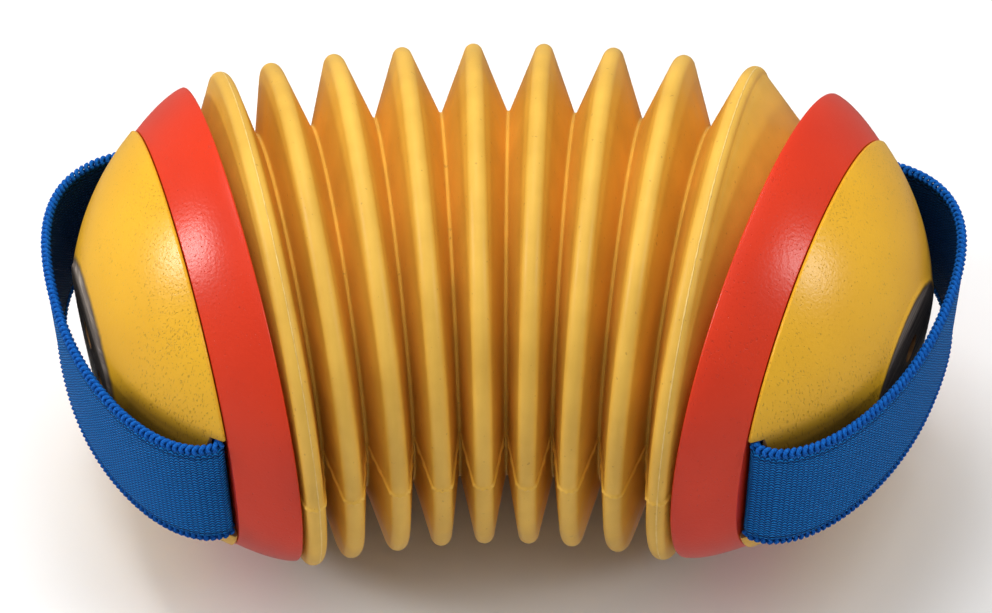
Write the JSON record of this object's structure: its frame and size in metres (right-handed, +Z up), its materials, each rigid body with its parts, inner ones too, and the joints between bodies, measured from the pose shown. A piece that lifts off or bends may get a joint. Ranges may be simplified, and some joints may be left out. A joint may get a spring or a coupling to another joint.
{
  "type": "toy concertina",
  "caption": "Small squeeze-box with a pleated moulded bellows between two turned wooden ends, each with sound holes and an elastic hand strap.",
  "frame": {"origin": "on the surface that the bellows rests on, below the middle of the whole object's box", "axes": "+X along the bellows from the left end to the right end, +Y to the outside of the arch, +Z up"},
  "size_m": [0.2008, 0.115, 0.11],
  "materials": {
    "bellows_rubber": "satin moulded rubber, honey yellow",
    "red_paint": "gloss red paint over turned wood",
    "yellow_paint": "gloss yellow paint over open-pored turned wood",
    "blue_elastic": "ribbed knitted elastic",
    "birch": "bare plywood",
    "steel": "zinc plated",
    "brass": "plain",
    "reed_plastic": "moulded, ivory"
  },
  "bodies": {
    "pleat_1": {"pleat_1": "bellows_rubber"},
    "pleat_2": {"pleat_2": "bellows_rubber"},
    "pleat_3": {"pleat_3": "bellows_rubber"},
    "pleat_4": {"pleat_4": "bellows_rubber"},
    "pleat_5": {"pleat_5": "bellows_rubber"},
    "pleat_6": {"pleat_6": "bellows_rubber"},
    "pleat_7": {"pleat_7": "bellows_rubber"},
    "pleat_8": {"pleat_8": "bellows_rubber"},
    "pleat_9": {"pleat_9": "bellows_rubber"},
    "fold_1": {"fold_1": "bellows_rubber"},
    "fold_2": {"fold_2": "bellows_rubber"},
    "fold_3": {"fold_3": "bellows_rubber"},
    "fold_4": {"fold_4": "bellows_rubber"},
    "fold_5": {"fold_5": "bellows_rubber"},
    "fold_6": {"fold_6": "bellows_rubber"},
    "fold_7": {"fold_7": "bellows_rubber"},
    "fold_8": {"fold_8": "bellows_rubber"},
    "left_cuff": {"left_cuff": "bellows_rubber"},
    "right_cuff": {"right_cuff": "bellows_rubber"},
    "left_end": {"left_flange": "bellows_rubber", "left_clamp_ring": "birch", "left_clamp_screw_1": "steel", "left_clamp_screw_2": "steel", "left_clamp_screw_3": "steel", "left_collar": "red_paint", "left_dome": "yellow_paint", "left_strap": "blue_elastic", "left_strap_tack_front": "steel", "left_strap_tack_back": "steel", "left_reed_block": "reed_plastic", "left_reed": "brass"},
    "right_end": {"right_flange": "bellows_rubber", "right_clamp_ring": "birch", "right_clamp_screw_1": "steel", "right_clamp_screw_2": "steel", "right_clamp_screw_3": "steel", "right_collar": "red_paint", "right_dome": "yellow_paint", "right_strap": "blue_elastic", "right_strap_tack_front": "steel", "right_strap_tack_back": "steel", "right_reed_block": "reed_plastic", "right_reed": "brass"}
  },
  "joints": [
    {"name": "bend_5_6", "type": "hinge", "parent": "pleat_5", "child": "fold_5", "pos_m": [0.00142, 0.00261, 0.055], "axis": [0, 0, 1], "range_deg": [0, 5.33], "stiffness_Nm_per_rad": 1, "deforming": ["pleat_5", "fold_5"]},
    {"name": "squeeze_5_6", "type": "slide", "parent": "fold_5", "child": "pleat_6", "axis": [0.9983, -0.0576, 0], "range_m": [-0.0022, 0.005], "stiffness_N_per_m": 800, "deforming": ["pleat_6"]},
    {"name": "bend_6_7", "type": "hinge", "parent": "pleat_6", "child": "fold_6", "pos_m": [0.0141, 0.00188, 0.055], "axis": [0, 0, 1], "range_deg": [0, 5.33], "stiffness_Nm_per_rad": 1, "deforming": ["fold_6"]},
    {"name": "squeeze_6_7", "type": "slide", "parent": "fold_6", "child": "pleat_7", "axis": [0.9917, -0.1288, 0], "range_m": [-0.0022, 0.005], "stiffness_N_per_m": 800, "deforming": ["pleat_7"]},
    {"name": "bend_7_8", "type": "hinge", "parent": "pleat_7", "child": "fold_7", "pos_m": [0.02679, 0.00023, 0.055], "axis": [0, 0, 1], "range_deg": [0, 4.94], "stiffness_Nm_per_rad": 1, "deforming": ["fold_7"]},
    {"name": "squeeze_7_8", "type": "slide", "parent": "fold_7", "child": "pleat_8", "axis": [0.981, -0.1942, 0], "range_m": [-0.0022, 0.005], "stiffness_N_per_m": 800, "deforming": ["pleat_8"]},
    {"name": "bend_8_9", "type": "hinge", "parent": "pleat_8", "child": "fold_8", "pos_m": [0.03959, -0.00231, 0.055], "axis": [0, 0, 1], "range_deg": [0, 5.46], "stiffness_Nm_per_rad": 1, "deforming": ["fold_8"]},
    {"name": "squeeze_8_9", "type": "slide", "parent": "fold_8", "child": "pleat_9", "axis": [0.9641, -0.2656, 0], "range_m": [-0.0022, 0.005], "stiffness_N_per_m": 800, "deforming": ["pleat_9"]},
    {"name": "bend_right_end", "type": "hinge", "parent": "pleat_9", "child": "right_cuff", "pos_m": [0.05131, -0.00553, 0.055], "axis": [0, 0, 1], "range_deg": [0, 11.7], "stiffness_Nm_per_rad": 1, "deforming": ["right_cuff"]},
    {"name": "squeeze_right_end", "type": "slide", "parent": "right_cuff", "child": "right_end", "axis": [0.9107, -0.4131, 0], "range_m": [-0.00033, 0.00075], "stiffness_N_per_m": 800, "deforming": ["right_flange"]},
    {"name": "bend_4_5", "type": "hinge", "parent": "pleat_5", "child": "fold_4", "pos_m": [-0.01138, 0.00243, 0.055], "axis": [0, 0, -1], "range_deg": [0, 5.72], "stiffness_Nm_per_rad": 1, "deforming": ["fold_4"]},
    {"name": "squeeze_4_5", "type": "slide", "parent": "fold_4", "child": "pleat_4", "axis": [-0.9959, -0.0906, 0], "range_m": [-0.0022, 0.005], "stiffness_N_per_m": 800, "deforming": ["pleat_4"]},
    {"name": "bend_3_4", "type": "hinge", "parent": "pleat_4", "child": "fold_3", "pos_m": [-0.02398, 0.00128, 0.055], "axis": [0, 0, -1], "range_deg": [0, 4.94], "stiffness_Nm_per_rad": 1, "deforming": ["fold_3"]},
    {"name": "squeeze_3_4", "type": "slide", "parent": "fold_3", "child": "pleat_3", "axis": [-0.9877, -0.1564, 0], "range_m": [-0.0022, 0.005], "stiffness_N_per_m": 800, "deforming": ["pleat_3"]},
    {"name": "bend_2_3", "type": "hinge", "parent": "pleat_3", "child": "fold_2", "pos_m": [-0.03617, -0.00065, 0.055], "axis": [0, 0, -1], "range_deg": [0, 3.38], "stiffness_Nm_per_rad": 1, "deforming": ["fold_2"]},
    {"name": "squeeze_2_3", "type": "slide", "parent": "fold_2", "child": "pleat_2", "axis": [-0.9796, -0.2011, 0], "range_m": [-0.0022, 0.005], "stiffness_N_per_m": 800, "deforming": ["pleat_2"]},
    {"name": "bend_1_2", "type": "hinge", "parent": "pleat_2", "child": "fold_1", "pos_m": [-0.04705, -0.00288, 0.055], "axis": [0, 0, -1], "range_deg": [0, 2.6], "stiffness_Nm_per_rad": 1, "deforming": ["fold_1"]},
    {"name": "squeeze_1_2", "type": "slide", "parent": "fold_1", "child": "pleat_1", "axis": [-0.972, -0.2351, 0], "range_m": [-0.0022, 0.005], "stiffness_N_per_m": 800, "deforming": ["pleat_1"]},
    {"name": "bend_left_end", "type": "hinge", "parent": "pleat_1", "child": "left_cuff", "pos_m": [-0.05463, -0.00471, 0.055], "axis": [0, 0, -1], "range_deg": [0, 4.03], "stiffness_Nm_per_rad": 1, "deforming": ["left_cuff"]},
    {"name": "squeeze_left_end", "type": "slide", "parent": "left_cuff", "child": "left_end", "axis": [-0.9578, -0.2874, 0], "range_m": [-0.00022, 0.0005], "stiffness_N_per_m": 800, "deforming": ["left_flange"]}
  ],
  "couplings": [
    {"joint": "bend_6_7", "follows": "bend_5_6", "ratio": 1},
    {"joint": "squeeze_6_7", "follows": "squeeze_5_6", "ratio": 1},
    {"joint": "bend_7_8", "follows": "bend_5_6", "ratio": 0.92683},
    {"joint": "squeeze_7_8", "follows": "squeeze_5_6", "ratio": 1},
    {"joint": "bend_8_9", "follows": "bend_5_6", "ratio": 1.0244},
    {"joint": "squeeze_8_9", "follows": "squeeze_5_6", "ratio": 1},
    {"joint": "bend_right_end", "follows": "bend_5_6", "ratio": 2.1951},
    {"joint": "squeeze_right_end", "follows": "squeeze_5_6", "ratio": 0.15},
    {"joint": "bend_4_5", "follows": "bend_5_6", "ratio": 1.0732},
    {"joint": "squeeze_4_5", "follows": "squeeze_5_6", "ratio": 1},
    {"joint": "bend_3_4", "follows": "bend_5_6", "ratio": 0.92683},
    {"joint": "squeeze_3_4", "follows": "squeeze_5_6", "ratio": 1},
    {"joint": "bend_2_3", "follows": "bend_5_6", "ratio": 0.63415},
    {"joint": "squeeze_2_3", "follows": "squeeze_5_6", "ratio": 1},
    {"joint": "bend_1_2", "follows": "bend_5_6", "ratio": 0.4878},
    {"joint": "squeeze_1_2", "follows": "squeeze_5_6", "ratio": 1},
    {"joint": "bend_left_end", "follows": "bend_5_6", "ratio": 0.7561},
    {"joint": "squeeze_left_end", "follows": "squeeze_5_6", "ratio": 0.1}
  ]
}
